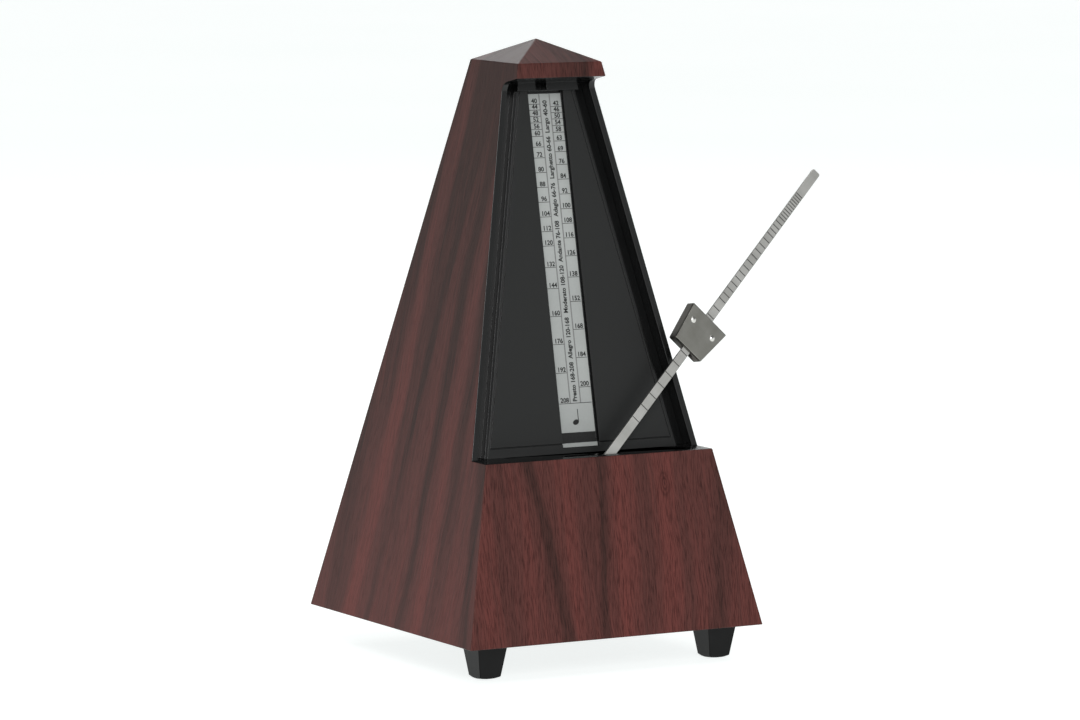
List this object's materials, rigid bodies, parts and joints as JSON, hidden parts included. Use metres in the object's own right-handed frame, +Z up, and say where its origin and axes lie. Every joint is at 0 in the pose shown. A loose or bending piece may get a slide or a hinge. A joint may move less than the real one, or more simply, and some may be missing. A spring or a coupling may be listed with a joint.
{
  "type": "metronome",
  "caption": "Pyramid metronome: tapered case on small feet, open front with a tempo scale, a swinging notched rod with a sliding weight, and a spring-driven movement inside.",
  "frame": {"origin": "middle of the square footprint, on the surface the feet stand on", "axes": "+X to the right seen from the front, +Y to the back, +Z up"},
  "size_m": [0.158, 0.116, 0.2136],
  "materials": {
    "case_finish": "black moulding with a printed mahogany film on its outer faces",
    "black_plastic": "black, satin gloss",
    "scale_print": "pale plate with a printed tempo scale",
    "base_black": "black, fine grain",
    "foot_rubber": "black, satin",
    "screw_steel": "bright zinc plate",
    "plate_steel": "rolled plate",
    "turned_steel": "turned",
    "spring_steel": "blued strip",
    "wheel_brass": "cut and lightly brushed",
    "hard_steel": "hardened, oiled",
    "key_metal": "plated",
    "rod_steel": "flat strip with fine cross notches",
    "bob_lead": "dull cast metal",
    "weight_metal": "satin nickel grey",
    "rivet_steel": "domed, polished"
  },
  "bodies": {
    "case": {"case_shell": "case_finish", "recess_insert": "black_plastic", "scale_plate": "scale_print", "base_plate": "base_black", "base_screws": "screw_steel", "foot_front_left": "foot_rubber", "foot_front_right": "foot_rubber", "foot_rear": "foot_rubber", "movement_plate_left": "plate_steel", "movement_plate_right": "plate_steel", "foot_bracket_left": "plate_steel", "foot_bracket_right": "plate_steel", "pillar_front_lower": "turned_steel", "pillar_front_upper": "turned_steel", "pillar_rear_lower": "turned_steel", "pillar_rear_upper": "turned_steel", "pillar_screws": "screw_steel", "bracket_screws": "screw_steel", "verge_front_bridge": "plate_steel", "front_bridge_screws": "screw_steel", "verge_rear_cock": "plate_steel", "rear_cock_screws": "screw_steel", "escape_bracket": "plate_steel", "escape_bracket_screws": "screw_steel", "spring_post": "turned_steel", "mainspring": "spring_steel"},
    "winding": {"winding_arbor": "turned_steel", "ratchet_wheel": "hard_steel", "winding_key": "key_metal"},
    "great": {"great_wheel": "wheel_brass"},
    "click": {"click": "hard_steel"},
    "second": {"second_arbor": "turned_steel", "second_wheel": "wheel_brass"},
    "crown": {"crown_arbor": "turned_steel", "crown_wheel": "wheel_brass"},
    "pendulum": {"pendulum_rod": "rod_steel", "pendulum_hub": "wheel_brass", "hub_rivets": "rivet_steel", "verge_arbor": "turned_steel", "pallet_front": "hard_steel", "pallet_rear": "hard_steel", "lower_bob": "bob_lead", "bob_screw": "screw_steel"},
    "weight": {"sliding_weight": "weight_metal", "weight_spring": "spring_steel", "weight_rivets": "rivet_steel"}
  },
  "joints": [
    {"name": "pendulum_swing", "type": "hinge", "parent": "case", "child": "pendulum", "pos_m": [0, -0.04007, 0.06524], "axis": [0, -0.9903, 0.1392], "range_deg": [-1.6, 90.4]},
    {"name": "weight_slide", "type": "slide", "parent": "pendulum", "child": "weight", "axis": [0.6997, 0.0994, 0.7075], "range_m": [-0.039, 0.058]},
    {"name": "winding_turn", "type": "hinge", "parent": "case", "child": "winding", "pos_m": [0, 0.01466, 0.04043], "axis": [1, 0, 0], "range_deg": [-1170, 1080], "deforming": ["mainspring"]},
    {"name": "great_wheel_spin", "type": "hinge", "parent": "case", "child": "great", "pos_m": [0, 0.01466, 0.04043], "axis": [1, 0, 0], "continuous": true},
    {"name": "click_lift", "type": "hinge", "parent": "great", "child": "click", "pos_m": [0, 0.01899, 0.05375], "axis": [1, 0, 0], "range_deg": [0, 12], "stiffness_Nm_per_rad": 0.002, "springref_deg": -11.46},
    {"name": "second_wheel_spin", "type": "hinge", "parent": "case", "child": "second", "pos_m": [0, -0.00902, 0.04905], "axis": [1, 0, 0], "continuous": true},
    {"name": "crown_wheel_spin", "type": "hinge", "parent": "case", "child": "crown", "pos_m": [0, -0.02026, 0.06246], "axis": [1, 0, 0], "continuous": true}
  ],
  "couplings": [
    {"joint": "second_wheel_spin", "follows": "great_wheel_spin", "ratio": -6},
    {"joint": "crown_wheel_spin", "follows": "great_wheel_spin", "ratio": 36}
  ]
}
